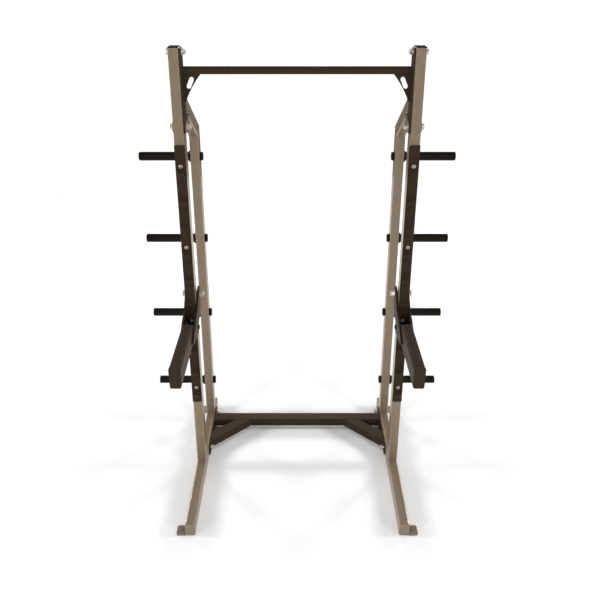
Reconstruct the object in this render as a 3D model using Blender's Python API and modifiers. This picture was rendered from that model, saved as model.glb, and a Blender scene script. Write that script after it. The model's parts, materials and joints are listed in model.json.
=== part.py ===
"""Half rack: two welded side frames, a pull-up bar, a floor cross frame and two spotter arms.

Metres, +Z up. The rack faces -Y. The origin is on the floor, under the middle of the
whole rack's bounding box. Each sub-part is one closed mesh object named for what it is.
"""
import math

import bmesh
import bpy
from mathutils import Matrix, Vector

# ---- driving dimensions ----------------------------------------------------------------
GAP = 0.0003                 # clearance kept between touching pieces
WALL = 0.003                 # wall of every square tube
TUBE_WIDE = 0.0508           # square tube, narrow side
TUBE_DEEP = 0.0762           # square tube, broad side
TUBE_CORNER = 0.006          # outside corner radius of the tube

FRAME_X = 0.5639             # centre plane of each side frame, from the middle
POST_PITCH = 0.4826          # front face to front face, front post to rear post
RAIL_AHEAD = 0.532           # base rail ahead of the front post
RAIL_BEHIND = 0.1143         # base rail behind the rear post
ARM_REACH = 0.592            # spotter arm's tip ahead of the front post
POST_TOP = 2.388             # top of the front post, under its cap

BAR_DIAMETER = 0.036         # pull-up bar
BAR_WALL = 0.004
BAR_Z = 2.286
BAR_PLATE_LOW = 1.998
BAR_PLATE_HIGH = 2.385
BAR_BOLT_Z = 2.368
BRACE_BOLT_Z = 2.026
PLATE = 0.00635              # quarter-inch plate: bar plates, gussets, cross plates

BRACKET_STRAP = 0.005        # bent strap round the brace's front end
BRACKET_TALL = 0.12
BRACKET_NOSE = 0.0285        # radius of the strap's front ends
BRACKET_BACK = 0.120         # its back edge, behind the front post's front face
BRACKET_CORNER = 0.008

GUSSET_REACH = 0.082         # along the bar
GUSSET_DROP = 0.126          # down the bar plate
GUSSET_NOSE = 0.007          # width of its lower tip
GUSSET_HOLLOW = 0.006        # sag of its free edge
GUSSET_STEPS = 6
SLOT_IN = 0.0325             # slot's centre from the bar plate, and below the bar
SLOT_DOWN = 0.038
SLOT_TILT = math.radians(24)
SLOT_HALF = 0.018
SLOT_RADIUS = 0.0105

BRACE_ANGLE = math.radians(28.7)   # top brace, above level
MITRE_FRONT_Z = 1.881              # front corner of the rear post's mitre

HOOK_COUNT = 10
HOOK_PITCH = 0.1397
HOOK_TOP_Z = 1.822           # lip of the highest hook
HOOK_HEIGHT = 0.054
HOOK_REACH = 0.040           # lip ahead of the strip
HOOK_LIP = 0.008             # thickness of the lip
HOOK_WIDE = 0.038
HOOK_DEPTH = 0.020           # cradle below the lip
HOOK_FOOT = 0.004            # step at the hook's flat foot
HOOK_SHOULDER = 0.012        # corner radius of the hook, seen from the front
HOOK_ROOT = 0.003            # hook's root inside the strip
STRIP_WIDE = 0.0524
STRIP_THICK = 0.006
STRIP_LOW = 0.4925
STRIP_HIGH = 1.9458

HORN_HEIGHTS = (0.3154, 0.798, 1.2806, 1.7632)
HORN_DIAMETER = 0.048
HORN_WALL = 0.004
HORN_TIP_X = 0.878
HORN_STUB = 0.016            # horn's inner end, past the rear post
COLLAR_DIAMETER = 0.062
COLLAR_THICK = 0.010

ARM_HOOK = 7                 # the arm hangs on this hook, counted from the top
ARM_WIDE = 0.0528
ARM_TUBE_TALL = 0.0953
ARM_BOTTOM_Z = 0.949
ARM_REAR_AHEAD = 0.182       # rear end of the arm's top, ahead of the front post
ARM_STRIP_SLANT = math.radians(25)   # slope of the wear strip's rear end
ARM_TUBE_SLANT = 0.045       # how much further back the arm tube's bottom runs
ARM_CAP_THICK = 0.012
PEG_DIAMETER = 0.025
PEG_PROUD = 0.006
ARM_PLATE = 0.0095
ARM_PLATE_INSIDE = 0.0275    # inner face of each arm plate, from the frame's centre plane
ARM_BOLT_BEHIND = 0.0945     # arm's rear bolt behind the front post's front face
ARM_BOLT_Z = 1.120
ARM_BOSS = 0.042             # radius of the arm plate's heel
ARM_TOE_AHEAD = 0.190        # centre of the arm plate's toe, ahead of the front post
ARM_TOE_Z = 0.982
ARM_TOE_RADIUS = 0.018
ARM_SPACER_DIAMETER = 0.032

CROSS_LOW = 0.0254           # underside of the cross frame's tubes
CROSS_AHEAD = 0.0636         # cross tube's front face ahead of the rear post
DIAGONAL_AT_PLATE = 0.2426   # diagonal's centre line ahead of the rear post, at its plate
CROSS_PLATE_AHEAD = 0.3326   # cross plate's front end ahead of the rear post
CROSS_PLATE_LONG = 0.421
CROSS_BOLT_Z = 0.048
CROSS_BOLT_EDGE = 0.019      # bolt from the plate's end

FOOT_WIDE = 0.049
FOOT_LONG = 0.067
FOOT_THICK = 0.0095
FOOT_CORNER = 0.010
FOOT_HOLE_DIAMETER = 0.011
FOOT_HOLE_OUT = 0.016        # hole from the rail's side

CAP_THICK = 0.004            # flange of the plastic tube caps
PLUG_SLACK = 0.002           # play between a cap's spigot and the tube's wall
FRAME_BOLT = 0.016           # M16 bolts through the side frames
ARM_BOLT = 0.020
HEAD_TALL = 0.63             # these six are in bolt diameters
NUT_TALL = 0.8
HEX_ACROSS = 1.5
WASHER_WIDE = 1.85
WASHER_THICK = 0.15
BOLT_TAIL = 0.3              # thread past the nut
BOLT_SIDES = 12              # facets of bolt shanks and of their holes
HORN_SIDES = 20              # facets of the horns and of their holes

# ---- places worked out from them -------------------------------------------------------
DEPTH = ARM_REACH + POST_PITCH + TUBE_DEEP + RAIL_BEHIND
POST_Y = ARM_REACH - DEPTH / 2          # front face of the front posts
REAR_Y = POST_Y + POST_PITCH            # front face of the rear posts
RAIL_TOP = TUBE_DEEP
HALF = TUBE_WIDE / 2
BAR_Y = POST_Y + TUBE_DEEP / 2
STRIP_FACE_Y = POST_Y - GAP - STRIP_THICK
PLATE_INSIDE = HALF + GAP + PLATE       # inner face of bar and cross plates, off the plane

# ---- scene -----------------------------------------------------------------------------
for old in list(bpy.data.objects):
    bpy.data.objects.remove(old, do_unlink=True)


def new_collection(name):
    collection = bpy.data.collections.new(name)
    bpy.context.scene.collection.children.link(collection)
    return collection


parts = new_collection("half_rack")
cutters = new_collection("cutters")


def new_material(name, colour, roughness, metallic):
    material = bpy.data.materials.new(name)
    material.use_nodes = True
    shader = material.node_tree.nodes["Principled BSDF"]
    shader.inputs["Base Color"].default_value = (*colour, 1.0)
    shader.inputs["Roughness"].default_value = roughness
    shader.inputs["Metallic"].default_value = metallic
    return material


FINISHES = {
    "champagne": ((0.26, 0.20, 0.145), 0.35, 0.6),
    "bronze": ((0.045, 0.033, 0.024), 0.4, 0.4),
    "black": ((0.012, 0.010, 0.008), 0.45, 0.1),
    "polymer": ((0.045, 0.036, 0.032), 0.55, 0.0),
    "zinc": ((0.62, 0.58, 0.52), 0.3, 1.0),
}


# ---- mesh helpers ----------------------------------------------------------------------
def add_part(name, mesh, finish, matrix=None):
    """Link a mesh as a sub-part with a material of its own."""
    obj = bpy.data.objects.new(name, mesh)
    mesh.materials.clear()
    mesh.materials.append(new_material(name, *FINISHES[finish]))
    parts.objects.link(obj)
    if matrix is not None:
        obj.matrix_world = matrix
    return obj


def mesh_from(bm, name):
    mesh = bpy.data.meshes.new(name)
    bm.normal_update()
    bm.to_mesh(mesh)
    bm.free()
    return mesh


def smooth_round(mesh, angle=35):
    mesh.shade_smooth()
    mesh.set_sharp_from_angle(angle=math.radians(angle))


def box_mesh(name, size):
    bm = bmesh.new()
    bmesh.ops.create_cube(bm, size=1.0, matrix=Matrix.Diagonal((*size, 1.0)))
    return mesh_from(bm, name)


def cylinder_mesh(name, diameter, length, segments=24):
    """A cylinder centred on the origin, along X."""
    bm = bmesh.new()
    bmesh.ops.create_cone(bm, cap_ends=True, segments=segments, radius1=diameter / 2,
                          radius2=diameter / 2, depth=length,
                          matrix=Matrix.Rotation(math.pi / 2, 4, 'Y'))
    return mesh_from(bm, name)


def add_bevel(obj, width, segments=2):
    bevel = obj.modifiers.new("Bevel", 'BEVEL')
    bevel.width = width
    bevel.segments = segments
    bevel.limit_method = 'ANGLE'
    bevel.angle_limit = math.radians(40)
    return bevel


def cutter(name, mesh, matrix):
    obj = bpy.data.objects.new(name, mesh)
    obj.hide_render = True
    obj.display_type = 'WIRE'
    obj.matrix_world = matrix
    cutters.objects.link(obj)
    return obj


def boolean(obj, tool, operation='DIFFERENCE'):
    modifier = obj.modifiers.new(operation.title(), 'BOOLEAN')
    modifier.operation = operation
    modifier.solver = 'EXACT'
    modifier.object = tool


def clear_diameter(diameter, sides):
    """Diameter of a faceted hole whose flats clear a round piece by the gap."""
    return diameter / math.cos(math.pi / sides) + 2 * GAP


def cut_hole(obj, diameter, sides, x, y, z, length=0.1):
    """Cut a hole along X that a round piece of this diameter clears."""
    mesh = cylinder_mesh(obj.name + "_hole", clear_diameter(diameter, sides), length, sides)
    boolean(obj, cutter(obj.name + "_hole", mesh, Matrix.Translation((x, y, z))))


def cut_plane(obj, point, normal, size=0.5):
    """Remove everything on the side of a plane that its normal points to."""
    normal = Vector(normal).normalized()
    turn = normal.to_track_quat('Z', 'Y').to_matrix().to_4x4()
    matrix = Matrix.Translation(Vector(point) + normal * size / 2) @ turn
    boolean(obj, cutter(obj.name + "_trim", box_mesh("trim", (size, size, size)), matrix))


def square_tube(name, finish, wide, deep, length, matrix, closed_low=False):
    """Square tube along local Z from 0 to length, wide on X and deep on Y."""
    bm = bmesh.new()
    place = Matrix.Translation((0, 0, length / 2)) @ Matrix.Diagonal((wide, deep, length, 1))
    bmesh.ops.create_cube(bm, size=1.0, matrix=place)
    ends = [f for f in bm.faces if f.normal.z > 0.9 or (f.normal.z < -0.9 and not closed_low)]
    bmesh.ops.delete(bm, geom=ends, context='FACES_ONLY')
    obj = add_part(name, mesh_from(bm, name), finish, matrix)
    add_bevel(obj, TUBE_CORNER, 2)
    shell = obj.modifiers.new("Wall", 'SOLIDIFY')
    shell.thickness = WALL
    shell.offset = -1
    shell.use_even_offset = True
    return obj


def prism_mesh(name, loops, thickness):
    """A flat outline with holes in local XY, extruded along Z and centred on it."""
    curve = bpy.data.curves.new(name, 'CURVE')
    curve.dimensions = '2D'
    curve.fill_mode = 'BOTH'
    curve.extrude = thickness / 2
    for loop in loops:
        spline = curve.splines.new('POLY')
        spline.points.add(len(loop) - 1)
        spline.use_cyclic_u = True
        for point, (x, y) in zip(spline.points, loop):
            point.co = (x, y, 0, 1)
    guide = bpy.data.objects.new(name + "_outline", curve)
    bpy.context.scene.collection.objects.link(guide)
    bpy.context.view_layer.update()
    mesh = bpy.data.meshes.new_from_object(guide.evaluated_get(
        bpy.context.evaluated_depsgraph_get()))
    bpy.data.objects.remove(guide, do_unlink=True)
    bpy.data.curves.remove(curve)
    bm = bmesh.new()
    bm.from_mesh(mesh)
    bmesh.ops.remove_doubles(bm, verts=bm.verts, dist=0.00001)
    bmesh.ops.recalc_face_normals(bm, faces=bm.faces)
    bm.to_mesh(mesh)
    bm.free()
    mesh.shade_flat()
    mesh.name = name
    return mesh


def arc(cx, cy, radius, start, end, steps):
    """Points on an arc, angles in degrees."""
    points = []
    for i in range(steps + 1):
        angle = math.radians(start + (end - start) * i / steps)
        points.append((cx + radius * math.cos(angle), cy + radius * math.sin(angle)))
    return points


def bolt_hole(cx, cy, diameter):
    """Outline of a hole that a bolt of this diameter clears."""
    step = 360 / BOLT_SIDES
    return arc(cx, cy, clear_diameter(diameter, BOLT_SIDES) / 2, 0, 360 - step, BOLT_SIDES - 1)


def rounded(points, radii, steps=3):
    """Round each corner of a convex or concave outline by its own radius."""
    outline = []
    count = len(points)
    for i, (point, radius) in enumerate(zip(points, radii)):
        corner = Vector(point)
        if radius <= 0:
            outline.append(tuple(corner))
            continue
        before = (Vector(points[i - 1]) - corner).normalized()
        after = (Vector(points[(i + 1) % count]) - corner).normalized()
        half_angle = before.angle(after) / 2
        reach = radius / math.tan(half_angle)
        centre = corner + (before + after).normalized() * radius / math.sin(half_angle)
        first = corner + before * reach - centre
        last = corner + after * reach - centre
        turn = first.angle_signed(last)
        for step in range(steps + 1):
            angle = -turn * step / steps
            ray = Vector((first.x * math.cos(angle) - first.y * math.sin(angle),
                          first.x * math.sin(angle) + first.y * math.cos(angle)))
            outline.append(tuple(centre + ray))
    return outline


# local X of these flat pieces runs along world Y (side plates) or world X (gussets)
SIDE_VIEW = Matrix(((0, 0, 1, 0), (1, 0, 0, 0), (0, 1, 0, 0), (0, 0, 0, 1)))
FRONT_VIEW = Matrix(((1, 0, 0, 0), (0, 0, -1, 0), (0, 1, 0, 0), (0, 0, 0, 1)))


def capped_plug(name, finish, wide, deep, spigot, matrix):
    """A tube cap: flange from local Z 0 to CAP_THICK, and a spigot below it."""
    bm = bmesh.new()
    place = (Matrix.Translation((0, 0, CAP_THICK / 2))
             @ Matrix.Diagonal((wide, deep, CAP_THICK, 1)))
    bmesh.ops.create_cube(bm, size=1.0, matrix=place)
    under = [f for f in bm.faces if f.normal.z < -0.9]
    bmesh.ops.inset_individual(bm, faces=under, thickness=WALL + PLUG_SLACK,
                               use_even_offset=True)
    pushed = bmesh.ops.extrude_discrete_faces(bm, faces=under)["faces"]
    bmesh.ops.translate(bm, verts=pushed[0].verts, vec=(0, 0, -spigot))
    obj = add_part(name, mesh_from(bm, name), finish, matrix)
    add_bevel(obj, 0.001, 1)
    return obj


def hex_bolt(name, low_x, high_x, y, z, size, head_first, spacer=None):
    """Bolt along X with washers outside low_x and high_x, a hex head and a hex nut.

    head_first puts the head at low_x. spacer is (diameter, low, high) on the shank.
    """
    washer_thick = size * WASHER_THICK
    head_tall = size * HEAD_TALL
    nut_tall = size * NUT_TALL
    across = size * HEX_ACROSS
    tail = size * BOLT_TAIL
    middle = (low_x + high_x) / 2
    place = Matrix.Translation((middle, y, z))
    shank_low = low_x - middle - head_tall / 2
    shank_high = high_x - middle + head_tall / 2
    washer = size * WASHER_WIDE
    washers = [(low_x - washer_thick - GAP, low_x - GAP),
               (high_x + GAP, high_x + washer_thick + GAP)]
    head_low = low_x - washer_thick - GAP
    head_high = high_x + washer_thick + GAP
    low_tall = head_tall if head_first else nut_tall
    high_tall = nut_tall if head_first else head_tall
    hexes = [(head_low - low_tall, head_low + washer_thick / 2),
             (head_high - washer_thick / 2, head_high + high_tall)]
    if head_first:
        shank_high = head_high + nut_tall + tail - middle
    else:
        shank_low = head_low - nut_tall - tail - middle
    shank = cylinder_mesh(name, size, shank_high - shank_low, BOLT_SIDES)
    shank.transform(Matrix.Translation(((shank_low + shank_high) / 2, 0, 0)))
    obj = add_part(name, shank, "zinc", place)
    pieces = []
    for low, high in washers:
        mesh = cylinder_mesh(name + "_washer", washer, high - low, 16)
        pieces.append((mesh, (low + high) / 2))
    for low, high in hexes:
        mesh = cylinder_mesh(name + "_hex", across / math.cos(math.pi / 6), high - low, 6)
        pieces.append((mesh, (low + high) / 2))
    if spacer:
        mesh = cylinder_mesh(name + "_spacer", spacer[0], spacer[2] - spacer[1], 16)
        pieces.append((mesh, (spacer[1] + spacer[2]) / 2))
    for mesh, centre in pieces:
        tool = cutter(mesh.name, mesh, Matrix.Translation((centre, y, z)))
        boolean(obj, tool, 'UNION')
    return obj


# ---- sub-parts of one side frame; side is -1 for left and +1 for right ------------------
def base_rail(side, label):
    """Floor tube along Y, closed in front, with a plug behind and an anchor foot at each end."""
    x = side * FRAME_X
    front = POST_Y - RAIL_AHEAD
    length = DEPTH / 2 - CAP_THICK - GAP - front
    along_y = Matrix.Translation((x, front, TUBE_DEEP / 2)) @ Matrix.Rotation(-math.pi / 2, 4, 'X')
    rail = square_tube(label + "_base_rail", "champagne", TUBE_WIDE, TUBE_DEEP, length,
                       along_y, closed_low=True)
    for y in cross_bolt_places():
        cut_hole(rail, FRAME_BOLT, BOLT_SIDES, x, y, CROSS_BOLT_Z)
    plug = along_y @ Matrix.Translation((0, 0, length + GAP))
    capped_plug(label + "_base_plug", "black", TUBE_WIDE, TUBE_DEEP, 0.012, plug)
    anchor_foot(side, label + "_front_foot", front)
    anchor_foot(side, label + "_rear_foot", DEPTH / 2 - FOOT_LONG)


def anchor_foot(side, name, y):
    """Flat lug on the rail's outer side, with a hole for a floor anchor."""
    inner = FRAME_X + HALF + GAP
    outer = inner + FOOT_WIDE
    corners = [(inner, y), (outer, y), (outer, y + FOOT_LONG), (inner, y + FOOT_LONG)]
    outline = rounded(corners, (0, FOOT_CORNER, FOOT_CORNER, 0))
    hole = bolt_hole(inner + FOOT_HOLE_OUT, y + FOOT_LONG / 2, FOOT_HOLE_DIAMETER)
    loops = [[(side * px, py) for px, py in loop] for loop in (outline, hole)]
    mesh = prism_mesh(name, loops, FOOT_THICK)
    add_part(name, mesh, "champagne", Matrix.Translation((0, 0, FOOT_THICK / 2)))


def front_post(side, label):
    x = side * FRAME_X
    low = RAIL_TOP + GAP
    place = Matrix.Translation((x, POST_Y + TUBE_DEEP / 2, low))
    post = square_tube(label + "_front_post", "champagne", TUBE_WIDE, TUBE_DEEP,
                       POST_TOP - low, place)
    for z in (BAR_BOLT_Z, BRACE_BOLT_Z):
        cut_hole(post, FRAME_BOLT, BOLT_SIDES, x, BAR_Y, z)
    cap = Matrix.Translation((x, POST_Y + TUBE_DEEP / 2, POST_TOP + GAP))
    capped_plug(label + "_post_cap", "black", TUBE_WIDE, TUBE_DEEP, 0.007, cap)


def brace_direction():
    """Unit vector up the top brace, towards the front post."""
    return Vector((0, -math.cos(BRACE_ANGLE), math.sin(BRACE_ANGLE)))


def mitre_normal():
    """Normal of the mitre plane, pointing from the rear post into the brace."""
    return (Vector((0, 0, 1)) + brace_direction()).normalized()


def rear_post(side, label):
    """Rear post, mitred at its top, with a hole right through for each storage horn."""
    x = side * FRAME_X
    low = RAIL_TOP + GAP
    place = Matrix.Translation((x, REAR_Y + TUBE_DEEP / 2, low))
    post = square_tube(label + "_rear_post", "champagne", TUBE_WIDE, TUBE_DEEP,
                       MITRE_FRONT_Z + 0.1 - low, place)
    corner = Vector((x, REAR_Y, MITRE_FRONT_Z))
    cut_plane(post, corner - mitre_normal() * GAP / 2, mitre_normal())
    for z in HORN_HEIGHTS:
        cut_hole(post, HORN_DIAMETER, HORN_SIDES, x, REAR_Y + TUBE_DEEP / 2, z)


def top_brace(side, label):
    """Slanting tube from the rear post's mitre to the back of the front post."""
    x = side * FRAME_X
    along = brace_direction()
    rise = along.cross(Vector((1, 0, 0)))
    if rise.z < 0:
        rise.negate()
    corner = Vector((x, REAR_Y, MITRE_FRONT_Z))
    start = corner + rise * TUBE_DEEP / 2 - along * 0.12
    turn = Matrix((Vector((1, 0, 0)), along.cross(Vector((1, 0, 0))), along)).transposed()
    tube = square_tube(label + "_top_brace", "champagne", TUBE_WIDE, TUBE_DEEP, 0.75,
                       Matrix.Translation(start) @ turn.to_4x4())
    cut_plane(tube, corner + mitre_normal() * GAP / 2, -mitre_normal())
    back = POST_Y + TUBE_DEEP + GAP
    cut_plane(tube, (x, back, MITRE_FRONT_Z + 0.25), (0, -1, 0))


def brace_bracket(side, label):
    """Bent strap that ties the brace's front end to the front post and its bar plate."""
    outer = HALF + GAP
    inner = PLATE_INSIDE + GAP
    thick = BRACKET_STRAP
    front = BAR_Y - BRACKET_NOSE
    back = POST_Y + BRACKET_BACK
    plan = [(-outer - thick, front), (-outer, front), (-outer, back - thick),
            (inner, back - thick), (inner, front), (inner + thick, front),
            (inner + thick, back), (-outer - thick, back)]
    loop = [(side * (FRAME_X - px), py) for px, py in plan]
    mesh = prism_mesh(label + "_brace_bracket", [loop], BRACKET_TALL)
    bracket = add_part(label + "_brace_bracket", mesh, "champagne",
                       Matrix.Translation((0, 0, BRACE_BOLT_Z)))
    rise_at_back = math.tan(BRACE_ANGLE) * (REAR_Y - back)
    top = MITRE_FRONT_Z + rise_at_back - 0.001
    beyond = back + 0.01
    side_loop = arc(BAR_Y, BRACE_BOLT_Z, BRACKET_NOSE, 90, 270, 8)
    side_loop += [(beyond, BRACE_BOLT_Z - BRACKET_NOSE), (beyond, top - BRACKET_CORNER),
                  (back, top), (back - BRACKET_CORNER, top)]
    side_mesh = prism_mesh("bracket_side", [side_loop], 0.2)
    tool = cutter(label + "_bracket_side", side_mesh,
                  Matrix.Translation((side * FRAME_X, 0, 0)) @ SIDE_VIEW)
    boolean(bracket, tool, 'INTERSECT')
    cut_hole(bracket, FRAME_BOLT, BOLT_SIDES, side * FRAME_X, BAR_Y, BRACE_BOLT_Z)


def frame_bolt(side, name, inner, outer, y, z):
    """Bolt through a side frame; inner and outer are its clamped faces off the plane."""
    low = FRAME_X - inner
    high = FRAME_X + outer
    if side > 0:
        hex_bolt(name, low, high, y, z, FRAME_BOLT, head_first=False)
    else:
        hex_bolt(name, -high, -low, y, z, FRAME_BOLT, head_first=True)


def bar_plate(side, label):
    """Plate on the inner face of the front post that carries the pull-up bar."""
    y0 = POST_Y
    y1 = POST_Y + TUBE_DEEP
    corners = [(y0, BAR_PLATE_LOW), (y1, BAR_PLATE_LOW), (y1, BAR_PLATE_HIGH),
               (y0, BAR_PLATE_HIGH)]
    outline = rounded(corners, (0.008,) * 4)
    holes = [bolt_hole(BAR_Y, z, FRAME_BOLT) for z in (BAR_BOLT_Z, BRACE_BOLT_Z)]
    mesh = prism_mesh(label + "_bar_plate", [outline] + holes, PLATE)
    x = side * (FRAME_X - HALF - GAP - PLATE / 2)
    add_part(label + "_bar_plate", mesh, "bronze", Matrix.Translation((x, 0, 0)) @ SIDE_VIEW)
    frame_bolt(side, label + "_bar_bolt", PLATE_INSIDE, HALF, BAR_Y, BAR_BOLT_Z)
    strap_inner = PLATE_INSIDE + GAP + BRACKET_STRAP
    strap_outer = HALF + GAP + BRACKET_STRAP
    frame_bolt(side, label + "_brace_bolt", strap_inner, strap_outer, BAR_Y, BRACE_BOLT_Z)


def bar_gusset(side, label):
    """Web under the pull-up bar's end, with a slanting slot and a hollowed free edge."""
    wall = FRAME_X - PLATE_INSIDE - GAP
    top = BAR_Z - BAR_DIAMETER / 2 - GAP
    start = Vector((wall - GUSSET_NOSE, top - GUSSET_DROP))
    end = Vector((wall - GUSSET_REACH, top))
    free_edge = []
    for i in range(GUSSET_STEPS + 1):
        t = i / GUSSET_STEPS
        point = start.lerp(end, t)
        bow = GUSSET_HOLLOW * 4 * t * (1 - t)
        across = Vector((end.y - start.y, start.x - end.x)).normalized()
        free_edge.append(tuple(point + across * bow))
    outline = [(wall, top), (wall, top - GUSSET_DROP)] + free_edge
    slot = (arc(0, SLOT_HALF, SLOT_RADIUS, 0, 180, 6)
            + arc(0, -SLOT_HALF, SLOT_RADIUS, 180, 360, 6))
    turn = Matrix.Rotation(SLOT_TILT, 2)
    slot_centre = Vector((wall - SLOT_IN, top - SLOT_DOWN))
    turned = [tuple(slot_centre + turn @ Vector(point)) for point in slot]
    loops = [[(side * px, py) for px, py in loop] for loop in (outline, turned)]
    mesh = prism_mesh(label + "_bar_gusset", loops, PLATE)
    add_part(label + "_bar_gusset", mesh, "bronze",
             Matrix.Translation((0, BAR_Y, 0)) @ FRONT_VIEW)


def hook_mesh(name):
    """One hook, ahead of local Y 0 (towards -Y), its flat foot at local Z 0."""
    floor = HOOK_HEIGHT - HOOK_DEPTH
    radius = (HOOK_REACH - HOOK_LIP) / 2
    lip = HOOK_LIP / 2
    side_loop = [(HOOK_ROOT, 0), (-HOOK_FOOT, 0)]
    side_loop += arc(-HOOK_REACH + lip, HOOK_HEIGHT - lip, lip, 180, 0, 4)
    side_loop += arc(-radius, floor + radius, radius, 180, 360, 8)[1:]
    side_loop += [(HOOK_ROOT, floor + radius)]
    mesh = prism_mesh(name, [side_loop], HOOK_WIDE)
    mesh.transform(SIDE_VIEW)
    return mesh


def rack_rail(side, label):
    """Strip on the front post's face with its column of bar hooks, one moulding."""
    x = side * FRAME_X
    tall = STRIP_HIGH - STRIP_LOW
    mesh = box_mesh(label + "_rack_rail", (STRIP_WIDE, STRIP_THICK, tall))
    place = Matrix.Translation((x, STRIP_FACE_Y + STRIP_THICK / 2, STRIP_LOW + tall / 2))
    rail = add_part(label + "_rack_rail", mesh, "bronze", place)
    half = HOOK_WIDE / 2
    front = rounded([(-half, -HOOK_ROOT), (half, -HOOK_ROOT), (half, HOOK_HEIGHT),
                     (-half, HOOK_HEIGHT)], (0, 0, HOOK_SHOULDER, HOOK_SHOULDER), 3)
    for number in range(1, HOOK_COUNT + 1):
        z = hook_foot_z(number)
        hook = cutter(label + "_hook_%d" % number, hook_mesh("hook"),
                      Matrix.Translation((x, STRIP_FACE_Y, z)))
        arch = cutter(label + "_arch_%d" % number, prism_mesh("arch", [front], HOOK_REACH * 3),
                      Matrix.Translation((x, STRIP_FACE_Y, z)) @ FRONT_VIEW)
        boolean(hook, arch, 'INTERSECT')
        boolean(rail, hook, 'UNION')


def hook_foot_z(number):
    return HOOK_TOP_Z - HOOK_HEIGHT - HOOK_PITCH * (number - 1)


def storage_horns(side, label):
    """Plate storage horns through the rear post, hollow, each with a stop collar."""
    start = FRAME_X - HALF - HORN_STUB
    length = HORN_TIP_X - start
    radius = HORN_DIAMETER / 2
    bore = radius - HORN_WALL
    edge = 0.005
    collar_low = HORN_STUB + TUBE_WIDE + GAP
    collar_high = collar_low + COLLAR_THICK
    collar = COLLAR_DIAMETER / 2
    profile = [(0, length), (radius - edge, length), (radius, length - edge),
               (radius, collar_high), (collar, collar_high), (collar, collar_low),
               (radius, collar_low), (radius, 0), (bore, 0), (bore, length - HORN_WALL),
               (0, length - HORN_WALL)]
    for number, z in enumerate(reversed(HORN_HEIGHTS), 1):
        name = label + "_storage_horn_%d" % number
        bm = bmesh.new()
        verts = [bm.verts.new((r, 0, a)) for r, a in profile]
        for first, second in zip(verts, verts[1:]):
            bm.edges.new((first, second))
        mesh = mesh_from(bm, name)
        tilt = Matrix.Rotation(side * math.pi / 2, 4, 'Y')
        place = Matrix.Translation((side * start, REAR_Y + TUBE_DEEP / 2, z)) @ tilt
        horn = add_part(name, mesh, "black", place)
        screw = horn.modifiers.new("Turn", 'SCREW')
        screw.axis = 'Z'
        screw.steps = HORN_SIDES
        screw.render_steps = HORN_SIDES
        screw.use_merge_vertices = True
        screw.merge_threshold = 0.00001
        screw.use_smooth_shade = True


# ---- spotter arm -----------------------------------------------------------------------
def peg_place():
    """Axis of the arm's seat peg, lying in its hook: world Y and Z."""
    radius = (HOOK_REACH - HOOK_LIP) / 2
    floor = hook_foot_z(ARM_HOOK) + HOOK_HEIGHT - HOOK_DEPTH
    return STRIP_FACE_Y - radius, floor + PEG_DIAMETER / 2 + GAP


def peg_matrix(side):
    y, z = peg_place()
    return Matrix.Translation((side * FRAME_X, y, z))


def arm_plate_outline():
    """Side plate of the arm: its toe grips the arm's tube, its heel carries the rear bolt."""
    peg_y, peg_z = peg_place()
    bolt_y = POST_Y + ARM_BOLT_BEHIND
    toe = arc(POST_Y - ARM_TOE_AHEAD, ARM_TOE_Z, ARM_TOE_RADIUS, 105, 255, 4)
    heel = arc(bolt_y, ARM_BOLT_Z, ARM_BOSS, -15, 165, 8)
    front_edge = rounded([heel[-1], (POST_Y - 0.008, 1.072), (POST_Y - 0.095, 1.046),
                          toe[0]], (0, 0.05, 0.08, 0), 4)
    foot = arc(peg_y + 0.002, peg_z - 0.014, ARM_TOE_RADIUS, 270, 355, 3)
    back_edge = rounded([foot[-1], (peg_y + 0.024, 0.994), (POST_Y + 0.086, 1.012),
                         heel[0]], (0, 0.012, 0.05, 0), 3)
    outline = heel[:-1] + front_edge[:-1] + toe + foot[:-1] + back_edge[:-1]
    return [(py - peg_y, pz - peg_z) for py, pz in outline]


def spotter_arm(side, label):
    """Everything that lifts and tilts with the arm; every origin is on the peg's axis."""
    peg_y, peg_z = peg_place()
    bolt_y = POST_Y + ARM_BOLT_BEHIND
    outside = ARM_PLATE_INSIDE + ARM_PLATE
    frame = peg_matrix(side)
    peg = cylinder_mesh(label + "_arm_peg", PEG_DIAMETER, 2 * (outside + PEG_PROUD), 20)
    peg_obj = add_part(label + "_arm_peg", peg, "black", frame)
    add_bevel(peg_obj, 0.002, 1)
    outline = arm_plate_outline()
    holes = [bolt_hole(0, 0, PEG_DIAMETER),
             bolt_hole(bolt_y - peg_y, ARM_BOLT_Z - peg_z, ARM_BOLT)]
    for word, sign in (("inner", -1), ("outer", 1)):
        name = label + "_arm_%s_plate" % word
        mesh = prism_mesh(name, [outline] + holes, ARM_PLATE)
        offset = side * sign * (ARM_PLATE_INSIDE + ARM_PLATE / 2)
        mesh.transform(Matrix.Translation((offset, 0, 0)) @ SIDE_VIEW)
        add_part(name, mesh, "bronze", frame)
    arm_tube(side, label, frame)
    spacer_half = ARM_PLATE_INSIDE - GAP
    spacer = (ARM_SPACER_DIAMETER, side * FRAME_X - spacer_half, side * FRAME_X + spacer_half)
    hex_bolt(label + "_arm_bolt", side * FRAME_X - outside, side * FRAME_X + outside,
             bolt_y, ARM_BOLT_Z, ARM_BOLT, head_first=side < 0, spacer=spacer)


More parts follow.
